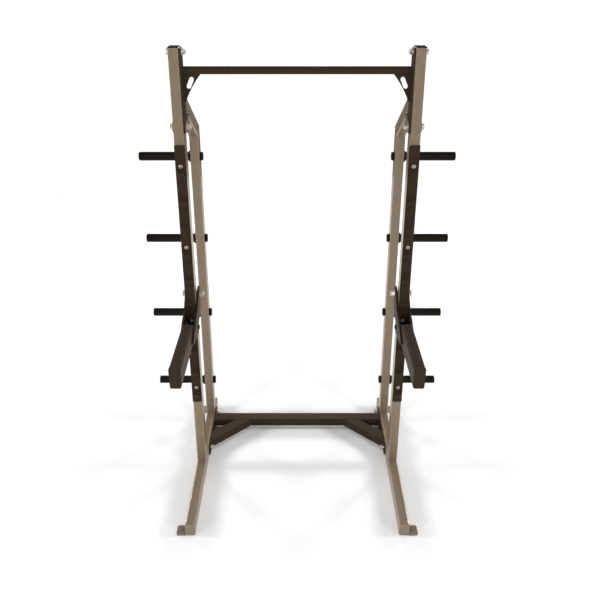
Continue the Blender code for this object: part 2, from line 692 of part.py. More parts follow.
def arm_tube(side, label, frame):
    """The arm's tube with its slanted rear end, its half-round wear strip and its end cap."""
    x = side * FRAME_X
    tip = POST_Y - ARM_REACH
    front = tip + ARM_CAP_THICK + GAP
    half = ARM_WIDE / 2
    top = ARM_BOTTOM_Z + ARM_TUBE_TALL
    strip_top = top + GAP + half
    strip_rear = POST_Y - ARM_REAR_AHEAD
    tube_rear = strip_rear + half / math.tan(ARM_STRIP_SLANT)
    along_y = (Matrix.Translation((x, front, ARM_BOTTOM_Z + ARM_TUBE_TALL / 2))
               @ Matrix.Rotation(-math.pi / 2, 4, 'X'))
    tube = square_tube(label + "_arm_tube", "bronze", ARM_WIDE, ARM_TUBE_TALL,
                       tube_rear + ARM_TUBE_SLANT + 0.02 - front, along_y)
    cut_plane(tube, (x, tube_rear, top), (0, ARM_TUBE_TALL, ARM_TUBE_SLANT))

    strip = prism_mesh(label + "_arm_strip", [arc(0, 0, half, 0, 180, 14)], tube_rear - front)
    middle = Matrix.Translation((x, (tube_rear + front) / 2, top + GAP))
    strip.transform(frame.inverted() @ middle @ FRONT_VIEW)
    strip_obj = add_part(label + "_arm_strip", strip, "polymer", frame)
    slope = (0, math.sin(ARM_STRIP_SLANT), math.cos(ARM_STRIP_SLANT))
    cut_plane(strip_obj, (x, strip_rear, strip_top), slope)

    shoulder = half + 0.002
    foot = 0.008
    cap_loop = (arc(0, top + GAP, shoulder, 0, 180, 12)
                + arc(-half + foot, ARM_BOTTOM_Z + foot, foot, 180, 270, 2)
                + arc(half - foot, ARM_BOTTOM_Z + foot, foot, 270, 360, 2))
    cap = prism_mesh(label + "_arm_cap", [cap_loop], ARM_CAP_THICK)
    cap.transform(frame.inverted() @ Matrix.Translation((x, tip + ARM_CAP_THICK / 2, 0))
                  @ FRONT_VIEW)
    cap_obj = add_part(label + "_arm_cap", cap, "polymer", frame)
    add_bevel(cap_obj, 0.0025, 1)


# ---- floor cross frame -----------------------------------------------------------------
def cross_bolt_places():
    front = REAR_Y - CROSS_PLATE_AHEAD
    return front + CROSS_BOLT_EDGE, front + CROSS_PLATE_LONG - CROSS_BOLT_EDGE


def cross_side(side, label):
    """Bolted plate on the rail's inner side, its two bolts and the diagonal brace."""
    front = REAR_Y - CROSS_PLATE_AHEAD
    back = front + CROSS_PLATE_LONG
    corners = [(front, 0.001), (back, 0.001), (back, RAIL_TOP), (front, RAIL_TOP)]
    holes = [bolt_hole(y, CROSS_BOLT_Z, FRAME_BOLT) for y in cross_bolt_places()]
    mesh = prism_mesh(label + "_cross_plate", [rounded(corners, (0.006,) * 4)] + holes, PLATE)
    x = side * (FRAME_X - HALF - GAP - PLATE / 2)
    add_part(label + "_cross_plate", mesh, "bronze", Matrix.Translation((x, 0, 0)) @ SIDE_VIEW)
    for word, y in zip(("front", "rear"), cross_bolt_places()):
        frame_bolt(side, label + "_cross_%s_bolt" % word, PLATE_INSIDE, HALF, y,
                   CROSS_BOLT_Z)
    wall = FRAME_X - PLATE_INSIDE - GAP
    cross_front = REAR_Y - CROSS_AHEAD - GAP
    at_plate = Vector((side * wall, REAR_Y - DIAGONAL_AT_PLATE, CROSS_LOW + TUBE_WIDE / 2))
    along = Vector((-side, 1, 0)).normalized()
    across = Vector((0, 0, 1)).cross(along)
    turn = Matrix((Vector((0, 0, 1)), across, along)).transposed().to_4x4()
    if turn.determinant() < 0:
        turn = Matrix((Vector((0, 0, -1)), across, along)).transposed().to_4x4()
    start = at_plate - along * 0.08
    tube = square_tube(label + "_diagonal", "bronze", TUBE_WIDE, TUBE_DEEP, 0.48,
                       Matrix.Translation(start) @ turn)
    cut_plane(tube, (side * wall, at_plate.y, 0), (side, 0, 0))
    cut_plane(tube, (at_plate.x - side * 0.18, cross_front, 0), (0, 1, 0))


def cross_tube():
    """Tube across the rear of the floor frame, between the cross plates."""
    half_length = FRAME_X - PLATE_INSIDE - GAP
    y = REAR_Y - CROSS_AHEAD + TUBE_DEEP / 2
    place = (Matrix.Translation((-half_length, y, CROSS_LOW + TUBE_WIDE / 2))
             @ Matrix.Rotation(math.pi / 2, 4, 'Y'))
    square_tube("cross_tube", "bronze", TUBE_WIDE, TUBE_DEEP, 2 * half_length, place)


def pull_up_bar():
    """Round tube between the bar plates."""
    length = 2 * (FRAME_X - PLATE_INSIDE - GAP)
    bm = bmesh.new()
    bmesh.ops.create_cone(bm, cap_ends=False, segments=24, radius1=BAR_DIAMETER / 2,
                          radius2=BAR_DIAMETER / 2, depth=length,
                          matrix=Matrix.Rotation(math.pi / 2, 4, 'Y'))
    bmesh.ops.recalc_face_normals(bm, faces=bm.faces)
    mesh = mesh_from(bm, "pull_up_bar")
    smooth_round(mesh)
    bar = add_part("pull_up_bar", mesh, "bronze", Matrix.Translation((0, BAR_Y, BAR_Z)))
    shell = bar.modifiers.new("Wall", 'SOLIDIFY')
    shell.thickness = BAR_WALL
    shell.offset = -1


# ---- build -----------------------------------------------------------------------------
pull_up_bar()
cross_tube()
for frame_side, frame_label in ((-1, "left"), (1, "right")):
    base_rail(frame_side, frame_label)
    front_post(frame_side, frame_label)
    rear_post(frame_side, frame_label)
    top_brace(frame_side, frame_label)
    brace_bracket(frame_side, frame_label)
    bar_plate(frame_side, frame_label)
    bar_gusset(frame_side, frame_label)
    rack_rail(frame_side, frame_label)
    storage_horns(frame_side, frame_label)
    cross_side(frame_side, frame_label)
    spotter_arm(frame_side, frame_label)
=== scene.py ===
"""Looks of the half rack: fine geometry, procedural finishes, studio light and camera."""
import json
import math
import bmesh
import bpy
from mathutils import Matrix, Vector


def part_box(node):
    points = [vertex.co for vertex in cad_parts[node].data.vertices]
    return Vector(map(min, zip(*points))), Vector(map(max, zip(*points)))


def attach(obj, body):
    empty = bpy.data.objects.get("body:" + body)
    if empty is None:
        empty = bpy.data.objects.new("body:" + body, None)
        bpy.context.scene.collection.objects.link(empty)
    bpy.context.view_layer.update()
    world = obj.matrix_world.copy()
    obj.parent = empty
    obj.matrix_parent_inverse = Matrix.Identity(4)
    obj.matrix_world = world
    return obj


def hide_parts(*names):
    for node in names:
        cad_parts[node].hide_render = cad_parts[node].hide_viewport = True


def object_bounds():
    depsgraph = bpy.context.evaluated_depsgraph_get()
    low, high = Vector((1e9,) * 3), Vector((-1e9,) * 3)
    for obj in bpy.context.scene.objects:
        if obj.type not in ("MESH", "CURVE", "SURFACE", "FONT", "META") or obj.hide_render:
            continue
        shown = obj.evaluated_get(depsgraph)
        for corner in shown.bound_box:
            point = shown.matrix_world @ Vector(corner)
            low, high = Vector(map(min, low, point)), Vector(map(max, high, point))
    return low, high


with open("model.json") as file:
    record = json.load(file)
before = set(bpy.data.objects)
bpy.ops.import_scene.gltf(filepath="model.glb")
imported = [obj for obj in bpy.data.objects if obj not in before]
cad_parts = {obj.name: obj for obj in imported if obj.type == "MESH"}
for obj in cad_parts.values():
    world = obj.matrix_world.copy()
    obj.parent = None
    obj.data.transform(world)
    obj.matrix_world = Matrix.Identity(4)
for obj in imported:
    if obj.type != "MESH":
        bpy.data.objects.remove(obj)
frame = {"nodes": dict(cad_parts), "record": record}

CAD_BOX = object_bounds()
NODES = frame["nodes"]
SIDES = (("left", -1), ("right", 1))

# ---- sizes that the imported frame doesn't state, in metres unless said otherwise ------------
HOOK_COUNT = 10
HOOK_PITCH = 0.1397
HOOK_BELOW_STRIP_TOP = 0.1238     # highest lip below the strip's top
HOOK_HEIGHT = 0.054
HOOK_LIP = 0.008
HOOK_WIDE = 0.038
HOOK_DEPTH = 0.020
HOOK_FOOT = 0.004
HOOK_SHOULDER = 0.012
STRIP_THICK = 0.006
SCREW_ABOVE_LIP = 0.0215
SCREW_HOOKS = (1, 4, 7, 10)       # a screw sits above each of these hooks
SCREW_HEAD = 0.0205
SCREW_RIM = 0.0008                # straight part of the screw's head under its dome
HORN_RADIUS = 0.024
HORN_EDGE = 0.005
HORN_GROOVE = 0.012               # from the horn's tip to the joint of its end plug
COLLAR_THICK = 0.010
COLLAR_GAP = 0.0003

FRAME_BOLT = 0.016
ARM_BOLT = 0.020
HEX_ACROSS = 1.5                  # these six are shares of a bolt's own size
HEAD_TALL = 0.63
NUT_TALL = 0.8
WASHER_RADIUS = 0.925
WASHER_THICK = 0.15
BOLT_TAIL = 0.3
HEX_FLAT = 0.47                   # radius of a nut's flat top, as a share of the hexagon
HEX_SLOPE = math.radians(30)      # of the turned-off corners
THREAD_PITCH = 0.002
THREAD_DEEP = 0.0009
SPACER_RADIUS = 0.016             # tube on the arm's bolt, between the two side plates
SPACER_EDGE = 0.0005
SPACER_PAST_POST = 0.0015

HOLE_SLACK = 0.0004               # round the peg and the bolt in the arm's side plates
ARM_HEEL = 0.042                  # radii of a side plate's corners
ARM_TOE = 0.018
ARM_FOOT = 0.018
ARM_TOE_AHEAD = 0.190             # centre of the toe, ahead of the post's front face
ARM_TOE_Z = 0.982
PEG_EDGE = 0.002                  # chamfer on the seat peg's ends
STRIP_SLANT = math.radians(25)
STRIP_SIDE = 0.0015               # straight side of the wear strip under its round top
CAP_FOOT = 0.008                  # radius of the end cap's lower corners

BEAD = 0.0028                     # weld bead radii
GUSSET_BEAD = 0.0020
MITRE_BEAD = 0.0016
ARM_BEAD = 0.0015
SEAM_BEAD = 0.0013
BEAD_STEP = 0.0022                # from one ripple to the next
BEAD_RIPPLE = 0.14                # how much thinner a bead is between its ripples, as a share
BEAD_END = 0.55                   # a bead's ends, as a share of its radius
BEAD_SIDES = 8
TUBE_CORNER = 0.005               # a bead stops this far short of a tube's rounded edges

# ---- studio and camera ---------------------------------------------------------------------
SKY_LOW = 0.05                    # strength of the sky's light at the horizon and overhead
SKY_HIGH = 0.42
BACKDROP = 1.05                   # strength of the white the camera sees beyond the floor
RING_LIGHTS = 8
RING_RADIUS = 7.2
RING_HEIGHT = 3.5
RING_POWER = 138                  # watts
SIDE_POWER = 235
SIDE_LIGHTS = (2, 6)              # the two lights of the ring straight out to the sides
LIGHT_SIZE = 1.3
AIM_HEIGHT = 1.0                  # the lights point at this height on the middle line
FLOOR_RADIUS = 6.4
FLOOR_SHADE = 0.90

CAMERA_PLACE = (0, -3.4515, 2.7447)
CAMERA_TILT = math.radians(64.61)
CAMERA_LENS = 42.9
CAMERA_SHIFT = 0.0047


# ---- materials -----------------------------------------------------------------------------
NOISE_LOW = 0.25                  # nearly all of a noise lies between these two values
NOISE_HIGH = 0.75
WARM = (1.0, 0.86, 0.72, 1)       # tint of the paints' shine


class Finish:
    """A Principled material with small helpers for its procedural nodes."""

    def __init__(self, name, colour, roughness, metallic):
        self.material = bpy.data.materials.new(name)
        self.material.use_nodes = True
        self.nodes = self.material.node_tree.nodes
        self.links = self.material.node_tree.links
        self.shader = self.nodes["Principled BSDF"]
        self.colour = colour
        self.set("Roughness", roughness)
        self.set("Metallic", metallic)
        self.set("Base Color", (*colour, 1))
        self.place = self.nodes.new("ShaderNodeTexCoord").outputs["Object"]

    def set(self, socket, value):
        self.shader.inputs[socket].default_value = value

    def noise(self, scale, detail):
        node = self.nodes.new("ShaderNodeTexNoise")
        node.inputs["Scale"].default_value = scale
        node.inputs["Detail"].default_value = detail
        self.links.new(self.place, node.inputs["Vector"])
        return node.outputs["Fac"]

    def flakes(self, scale):
        """Distance to the nearest of many scattered points, for metal flake."""
        node = self.nodes.new("ShaderNodeTexVoronoi")
        node.inputs["Scale"].default_value = scale
        self.links.new(self.place, node.inputs["Vector"])
        return node.outputs["Distance"]

    def spread(self, value, low, high):
        """A noise's useful middle, mapped to low..high."""
        node = self.nodes.new("ShaderNodeMapRange")
        node.inputs["From Min"].default_value = NOISE_LOW
        node.inputs["From Max"].default_value = NOISE_HIGH
        node.inputs["To Min"].default_value = low
        node.inputs["To Max"].default_value = high
        self.links.new(value, node.inputs["Value"])
        return node.outputs["Result"]

    def tint(self, value, low, high):
        """The finish's colour, times low to times high over a noise's useful middle."""
        ramp = self.nodes.new("ShaderNodeValToRGB")
        first, last = ramp.color_ramp.elements
        first.position = NOISE_LOW
        last.position = NOISE_HIGH
        first.color = (*[c * low for c in self.colour], 1)
        last.color = (*[c * high for c in self.colour], 1)
        self.links.new(value, ramp.inputs["Fac"])
        return ramp.outputs["Color"]

    def mix(self, fac, a, b):
        node = self.nodes.new("ShaderNodeMix")
        node.data_type = 'RGBA'
        self.links.new(fac, node.inputs["Factor"])
        self.links.new(a, node.inputs["A"])
        self.links.new(b, node.inputs["B"])
        return node.outputs["Result"]

    def to(self, value, socket):
        self.links.new(value, self.shader.inputs[socket])

    def bump(self, *layers):
        """Stack layers of relief; each is (height, strength, distance)."""
        normal = None
        for height, strength, distance in layers:
            node = self.nodes.new("ShaderNodeBump")
            node.inputs["Strength"].default_value = strength
            node.inputs["Distance"].default_value = distance
            self.links.new(height, node.inputs["Height"])
            if normal:
                self.links.new(normal, node.inputs["Normal"])
            normal = node.outputs["Normal"]
        self.to(normal, "Normal")


def powder_coat(name, colour, roughness, metallic, gloss, coat=0.0):
    """Powder coat: metal flake in the colour, orange peel, and dull patches."""
    f = Finish(name, colour, roughness, metallic)
    cloud = f.noise(7, 4)
    flake = f.flakes(1400)
    f.to(f.mix(f.spread(flake, 0.0, 0.55), f.tint(cloud, 0.93, 1.05),
               f.tint(f.noise(2200, 1), 0.75, 1.3)), "Base Color")
    f.to(f.spread(f.noise(38, 5), roughness - 0.05, roughness + 0.06), "Roughness")
    f.set("Specular IOR Level", gloss)
    f.set("Specular Tint", WARM)
    f.set("Coat Weight", coat)
    f.set("Coat Roughness", 0.10)
    f.bump((f.noise(420, 2), 0.07, 0.0004), (f.noise(90, 2), 0.05, 0.0008))
    return f.material


def moulded_plastic(name, colour, roughness):
    """Moulded plastic: fine spark-eroded grain and faint flow marks."""
    f = Finish(name, colour, roughness, 0.0)
    f.set("Specular IOR Level", 0.05)
    f.to(f.tint(f.noise(16, 4), 0.88, 1.12), "Base Color")
    f.to(f.spread(f.noise(60, 4), roughness - 0.07, roughness + 0.07), "Roughness")
    f.bump((f.noise(1100, 2), 0.08, 0.0002), (f.noise(30, 2), 0.03, 0.001))
    return f.material


def zinc_plate(name, colour, roughness, metallic):
    """Bright zinc on turned and forged steel."""
    f = Finish(name, colour, roughness, metallic)
    f.to(f.tint(f.noise(260, 4), 0.88, 1.08), "Base Color")
    f.to(f.spread(f.noise(500, 3), roughness - 0.08, roughness + 0.08), "Roughness")
    f.bump((f.noise(900, 3), 0.12, 0.0003),)
    return f.material


def studio_floor():
    f = Finish("studio_floor", (FLOOR_SHADE,) * 3, 0.9, 0.0)
    f.set("Specular IOR Level", 0.1)
    return f.material


CHAMPAGNE = powder_coat("champagne_powder_coat", (0.250, 0.192, 0.134), 0.38, 0.45, 0.20, 0.30)
BRONZE = powder_coat("bronze_powder_coat", (0.036, 0.024, 0.015), 0.50, 0.10, 0.05)
BLACK = powder_coat("black_powder_coat", (0.008, 0.0055, 0.0036), 0.40, 0.0, 0.09)
CAP_BLACK = moulded_plastic("cap_plastic", (0.016, 0.014, 0.012), 0.50)
WEAR_PLASTIC = moulded_plastic("wear_strip_plastic", (0.037, 0.026, 0.018), 0.75)
ZINC = zinc_plate("zinc_plated_steel", (0.66, 0.57, 0.49), 0.40, 0.85)
DULL_ZINC = zinc_plate("dull_zinc_screws", (0.42, 0.34, 0.27), 0.50, 0.5)
FLOOR = studio_floor()
SLOT_FINISH = {"champagne_paint": CHAMPAGNE, "bronze_paint": BRONZE, "black_paint": BLACK,
               "black_plastic": CAP_BLACK, "brown_plastic": WEAR_PLASTIC, "zinc": ZINC}


# ---- mesh helpers --------------------------------------------------------------------------
SAME_POINT = 0.00001              # points closer than this are one

# What takes an outline drawn in local XY to its place: seen from the side it lies in YZ,
# seen from the front in XZ. ALONG_X lays local Z along X.
SIDE_VIEW = Matrix(((0, 0, 1, 0), (1, 0, 0, 0), (0, 1, 0, 0), (0, 0, 0, 1)))
FRONT_VIEW = Matrix(((1, 0, 0, 0), (0, 0, -1, 0), (0, 1, 0, 0), (0, 0, 0, 1)))
ALONG_X = Matrix.Rotation(math.pi / 2, 4, 'Y')


def middle_of(low, high):
    return (low + high) / 2


def mesh_from(bm, name):
    mesh = bpy.data.meshes.new(name)
    bmesh.ops.recalc_face_normals(bm, faces=bm.faces)
    bm.to_mesh(mesh)
    bm.free()
    return mesh


def smooth(mesh, angle=32):
    mesh.shade_smooth()
    mesh.set_sharp_from_angle(angle=math.radians(angle))


def soften(obj, width, segments, angle):
    """Round an object's edges and keep its broad faces flat-looking."""
    bevel = obj.modifiers.new("Edges", 'BEVEL')
    bevel.width = width
    bevel.segments = segments
    bevel.limit_method = 'ANGLE'
    bevel.angle_limit = math.radians(angle)
    bevel.use_clamp_overlap = True
    normals = obj.modifiers.new("Normals", 'WEIGHTED_NORMAL')
    normals.keep_sharp = True


def piece(name, mesh, slot, body, replaces=(), finish=None):
    """An object of its own in a body and a slot, in the slot's finish unless told another."""
    obj = bpy.data.objects.new(name, mesh)
    bpy.context.scene.collection.objects.link(obj)
    mesh.materials.clear()
    mesh.materials.append(finish or SLOT_FINISH[slot])
    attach(obj, body)
    if replaces:
        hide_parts(*replaces)
    return obj


def skin(bm, rings):
    """Faces between each two rings of points, and one over each end."""
    for low, high in zip(rings, rings[1:]):
        for i in range(len(low)):
            j = (i + 1) % len(low)
            bm.faces.new((low[i], low[j], high[j], high[i]))
    bm.faces.new(list(reversed(rings[0])))
    bm.faces.new(rings[-1])


def lathe(bm, profile, steps, matrix=Matrix.Identity(4)):
    """Turn (radius, height) points about local Z and close both ends."""
    rings = []
    for radius, height in profile:
        ring = []
        for i in range(steps):
            angle = 2 * math.pi * i / steps
            at = Vector((radius * math.cos(angle), radius * math.sin(angle), height))
            ring.append(bm.verts.new(matrix @ at))
        rings.append(ring)
    skin(bm, rings)


def arc(cx, cy, radius, start, end, steps):
    """Points on an arc, angles in degrees."""
    points = []
    for i in range(steps + 1):
        angle = math.radians(start + (end - start) * i / steps)
        points.append((cx + radius * math.cos(angle), cy + radius * math.sin(angle)))
    return points


def circle(cx, cy, radius, steps=40):
    return arc(cx, cy, radius, 0, 360 - 360 / steps, steps - 1)


def rounded(points, radii, steps=8):
    """Round each corner of an outline by its own radius; 0 keeps it sharp."""
    outline = []
    count = len(points)
    for i, (point, radius) in enumerate(zip(points, radii)):
        corner = Vector(point)
        if radius <= 0:
            outline.append(tuple(corner))
            continue
        before = (Vector(points[i - 1]) - corner).normalized()
        after = (Vector(points[(i + 1) % count]) - corner).normalized()
        half_angle = before.angle(after) / 2
        reach = radius / math.tan(half_angle)
        centre = corner + (before + after).normalized() * radius / math.sin(half_angle)
        first = corner + before * reach - centre
        last = corner + after * reach - centre
        turn = first.angle_signed(last)
        for step in range(steps + 1):
            angle = -turn * step / steps
            outline.append((centre.x + first.x * math.cos(angle) - first.y * math.sin(angle),
                            centre.y + first.x * math.sin(angle) + first.y * math.cos(angle)))
    return outline


def prism(name, loops, thickness):
    """A flat outline with holes in local XY, extruded along Z and centred on it."""
    curve = bpy.data.curves.new(name, 'CURVE')
    curve.dimensions = '2D'
    curve.fill_mode = 'BOTH'
    curve.extrude = thickness / 2
    for loop in loops:
        spline = curve.splines.new('POLY')
        spline.points.add(len(loop) - 1)
        spline.use_cyclic_u = True
        for point, (x, y) in zip(spline.points, loop):
            point.co = (x, y, 0, 1)
    guide = bpy.data.objects.new(name + "_outline", curve)
    bpy.context.scene.collection.objects.link(guide)
    bpy.context.view_layer.update()
    mesh = bpy.data.meshes.new_from_object(guide.evaluated_get(
        bpy.context.evaluated_depsgraph_get()))
    bpy.data.objects.remove(guide, do_unlink=True)
    bpy.data.curves.remove(curve)
    bm = bmesh.new()
    bm.from_mesh(mesh)
    bmesh.ops.remove_doubles(bm, verts=bm.verts, dist=SAME_POINT)
    bmesh.ops.dissolve_limit(bm, angle_limit=math.radians(0.5), verts=bm.verts, edges=bm.edges)
    bmesh.ops.recalc_face_normals(bm, faces=bm.faces)
    bm.to_mesh(mesh)
    bm.free()
    smooth(mesh)
    mesh.name = name
    return mesh


def combined(base, tool, operation):
    """Mesh of a Boolean of two meshes that are already in place."""
    a = bpy.data.objects.new("base", base)
    b = bpy.data.objects.new("tool", tool)
    for obj in (a, b):
        bpy.context.scene.collection.objects.link(obj)
    modifier = a.modifiers.new("Join", 'BOOLEAN')
    modifier.operation = operation
    modifier.solver = 'EXACT'
    modifier.object = b
    bpy.context.view_layer.update()
    mesh = bpy.data.meshes.new_from_object(a.evaluated_get(
        bpy.context.evaluated_depsgraph_get()))
    bpy.data.objects.remove(a)
    bpy.data.objects.remove(b)
    return mesh


# ---- carried-over nodes --------------------------------------------------------------------
def refine_node(name, width=0.0009):
    """Weld, round and smooth a node that keeps its own shape, and give it its finish."""
    obj = NODES[name]
    slot = next(s["material_slot"] for s in frame["record"]["subparts"] if s["node"] == name)
    obj.data.materials.clear()
    obj.data.materials.append(SLOT_FINISH[slot])
    if "custom_normal" in obj.data.attributes:
        obj.data.attributes.remove(obj.data.attributes["custom_normal"])
    obj.data.shade_smooth()
    weld = obj.modifiers.new("Weld", 'WELD')
    weld.merge_threshold = SAME_POINT
    soften(obj, width, 2, 18)


def refine_kept_nodes():
    refine_node("cross_tube")
    for label, _ in SIDES:
        for word in ("base_rail", "front_post", "rear_post", "top_brace", "diagonal",
                     "arm_tube", "front_foot", "rear_foot", "brace_bracket", "bar_plate",
                     "bar_gusset", "cross_plate"):
            refine_node("%s_%s" % (label, word))
        for word in ("base_plug", "post_cap"):
            refine_node("%s_%s" % (label, word), 0.0006)


# ---- new pieces ----------------------------------------------------------------------------
def pull_up_bar():
    low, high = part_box("pull_up_bar")
    middle = middle_of(low, high)
    radius = (high.z - low.z) / 2
    bm = bmesh.new()
    lathe(bm, [(radius, 0), (radius, high.x - low.x)], 64,
          Matrix.Translation((low.x, middle.y, middle.z)) @ ALONG_X)
    mesh = mesh_from(bm, "bar")
    smooth(mesh)
    piece("round_bar", mesh, "bronze_paint", "frame", ["pull_up_bar"])
    for label, side in SIDES:
        end = Vector((side * (high.x - 0.0004), middle.y, middle.z))
        ring_bead(label + "_bar_weld", end, radius, "bronze_paint")


def storage_horns(label, side):
    """Each horn with its collar against the post and the joint of its end plug."""
    post_low, post_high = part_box(label + "_rear_post")
    for number in range(1, 5):
        node = "%s_storage_horn_%d" % (label, number)
        low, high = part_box(node)
        middle = middle_of(low, high)
        if side < 0:
            inner, tip, post_face = high.x, low.x, post_low.x
        else:
            inner, tip, post_face = low.x, high.x, post_high.x
        length = abs(tip - inner)
        collar_low = abs(post_face - inner) + COLLAR_GAP
        collar_high = collar_low + COLLAR_THICK
        collar = (high.z - low.z) / 2
        groove = length - HORN_GROOVE
        r = HORN_RADIUS
        core = r - HORN_EDGE
        profile = [(core + HORN_EDGE * math.cos(math.radians(a)),
                    HORN_EDGE + HORN_EDGE * math.sin(math.radians(a)))
                   for a in (-90, -68, -45, -22, 0)]
        profile += [(r, collar_low), (collar - 0.001, collar_low), (collar, collar_low + 0.001),
                    (collar, collar_high - 0.0015), (collar - 0.0015, collar_high),
                    (r + 0.004, collar_high), (r + 0.0015, collar_high + 0.001),
                    (r, collar_high + 0.004), (r, groove - 0.0008), (r - 0.0007, groove),
                    (r, groove + 0.0008)]
        profile += [(core + HORN_EDGE * math.cos(math.radians(a)),
                     length - HORN_EDGE + HORN_EDGE * math.sin(math.radians(a)))
                    for a in (0, 22, 45, 68, 90)]
        profile += [(r - 0.009, length), (r - 0.010, length - 0.0006)]
        bm = bmesh.new()
        lathe(bm, profile, 48, Matrix.Translation((inner, middle.y, middle.z))
              @ Matrix.Rotation(side * math.pi / 2, 4, 'Y'))
        mesh = mesh_from(bm, "horn")
        smooth(mesh)
        piece("%s_horn_%d" % (label, number), mesh, "black_paint", "frame", [node])


def hex_prism(size, tall):
    """Bolt head or nut on local Z from 0 to tall, with its corners turned off on top."""
    across = size * HEX_ACROSS
    corner = across / math.cos(math.pi / 6) / 2
    flat = across * HEX_FLAT
    bm = bmesh.new()
    bmesh.ops.create_cone(bm, cap_ends=True, segments=6, radius1=corner, radius2=corner,
                          depth=tall, matrix=Matrix.Translation((0, 0, tall / 2)))
    block = mesh_from(bm, "hex")
    wide = corner * 1.2
    drop = (wide - flat) * math.tan(HEX_SLOPE)
    bm = bmesh.new()
    lathe(bm, [(wide, -0.001), (wide, tall - drop), (flat, tall)], 48)
    turned = mesh_from(bm, "turned")
    return combined(block, turned, 'INTERSECT')


def merge_into(bm, mesh, matrix):
    """Add a mesh, moved by a matrix, to what a bmesh holds."""
    mesh = mesh.copy()
    mesh.transform(matrix)
    bm.from_mesh(mesh)


def bolt(label, node, size, side, body, head_inside=False):
    """Hex bolt, a washer under its head and its nut, and on the arm's bolt a spacer."""
    low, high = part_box(node)
    middle = middle_of(low, high)
    head_at_low = (side < 0) != head_inside
    head_end = low.x if head_at_low else high.x
    into = 1 if head_at_low else -1
    total = high.x - low.x
    head_tall = size * HEAD_TALL
    nut_tall = size * NUT_TALL
    washer = size * WASHER_THICK
    tail = size * BOLT_TAIL
    nut_low = total - tail - nut_tall
    nut_high = nut_low + nut_tall
    start = (Matrix.Translation((head_end, middle.y, middle.z))
             @ Matrix.Rotation(into * math.pi / 2, 4, 'Y'))
    flip = Matrix.Rotation(math.pi, 4, 'X')
    twist = Matrix.Rotation(math.radians(13 * (len(node) % 5)), 4, 'Z')
    bm = bmesh.new()
    merge_into(bm, hex_prism(size, head_tall),
               start @ Matrix.Translation((0, 0, head_tall)) @ flip @ twist)
    merge_into(bm, hex_prism(size, nut_tall),
               start @ Matrix.Translation((0, 0, nut_low)) @ twist)
    chamfer = washer * 0.3
    rim = size * WASHER_RADIUS
    for bottom in (head_tall, nut_low - washer):
        top = bottom + washer
        lathe(bm, [(rim - chamfer, bottom), (rim, bottom + chamfer), (rim, top - chamfer),
                   (rim - chamfer, top)], 40, start)
    r = size / 2
    thread = [(r, nut_high - 0.001)]
    for i in range(int(tail / THREAD_PITCH)):
        at = nut_high + i * THREAD_PITCH
        thread += [(r, at), (r - THREAD_DEEP, at + THREAD_PITCH / 2),
                   (r, at + THREAD_PITCH * 0.98)]
    thread += [(r - 0.001, total)]
    lathe(bm, thread, 32, start)
    lathe(bm, [(r, head_tall / 2), (r, nut_low + nut_tall / 2)], 32, start)
    if body != "frame":
        post_low, post_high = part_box(label + "_front_post")
        centre = abs(middle_of(post_low, post_high).x - head_end)
        half = (post_high.x - post_low.x) / 2 + SPACER_PAST_POST
        end = SPACER_RADIUS - SPACER_EDGE
        lathe(bm, [(end, centre - half), (SPACER_RADIUS, centre - half + SPACER_EDGE),
                   (SPACER_RADIUS, centre + half - SPACER_EDGE), (end, centre + half)],
              40, start)
    mesh = mesh_from(bm, "bolt")
    smooth(mesh)
    piece(node + "_set", mesh, "zinc", body, [node])


def hook_mesh(reach):
    """One hook ahead of local Y 0 (towards -Y), its flat foot at local Z 0."""
    floor = HOOK_HEIGHT - HOOK_DEPTH
    radius = (reach - HOOK_LIP) / 2
    lip = HOOK_LIP / 2
    root = 0.003                      # how far the hook runs into the strip
    loop = [(root, 0), (-HOOK_FOOT, 0)]
    loop += arc(-reach + lip, HOOK_HEIGHT - lip, lip, 180, 0, 10)
    loop += arc(-radius, floor + radius, radius, 180, 360, 20)[1:]
    loop += [(root, floor + radius)]
    mesh = prism("hook", [loop], HOOK_WIDE)
    mesh.transform(SIDE_VIEW)
    half = HOOK_WIDE / 2
    arch = rounded([(-half, -0.01), (half, -0.01), (half, HOOK_HEIGHT), (-half, HOOK_HEIGHT)],
                   (0, 0, HOOK_SHOULDER, HOOK_SHOULDER))
    front = prism("arch", [arch], 0.2)
    front.transform(FRONT_VIEW)
    return combined(mesh, front, 'INTERSECT')


def rack_rail(label):
    """Hook strip: a flat bar with its hooks, and the screws that hold it."""
    node = label + "_rack_rail"
    low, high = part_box(node)
    x = middle_of(low, high).x
    face = high.y - STRIP_THICK
    outline = rounded([(low.x, low.z), (high.x, low.z), (high.x, high.z), (low.x, high.z)],
                      (0.003,) * 4, 4)
    strip = prism("strip", [outline], STRIP_THICK)
    strip.transform(Matrix.Translation((0, face + STRIP_THICK / 2, 0)) @ FRONT_VIEW)
    hook = hook_mesh(face - low.y)
    top_lip = high.z - HOOK_BELOW_STRIP_TOP
    for number in range(HOOK_COUNT):
        one = hook.copy()
        foot = top_lip - HOOK_PITCH * number - HOOK_HEIGHT
        one.transform(Matrix.Translation((x, face, foot)))
        strip = combined(strip, one, 'UNION')
    smooth(strip)
    rail = piece(label + "_hook_rail", strip, "bronze_paint", "frame", [node])
    soften(rail, 0.0008, 2, 30)
    for count, number in enumerate(SCREW_HOOKS, 1):
        z = top_lip - HOOK_PITCH * (number - 1) + SCREW_ABOVE_LIP
        button_screw("%s_rail_screw_%d" % (label, count), Vector((x, face, z)))


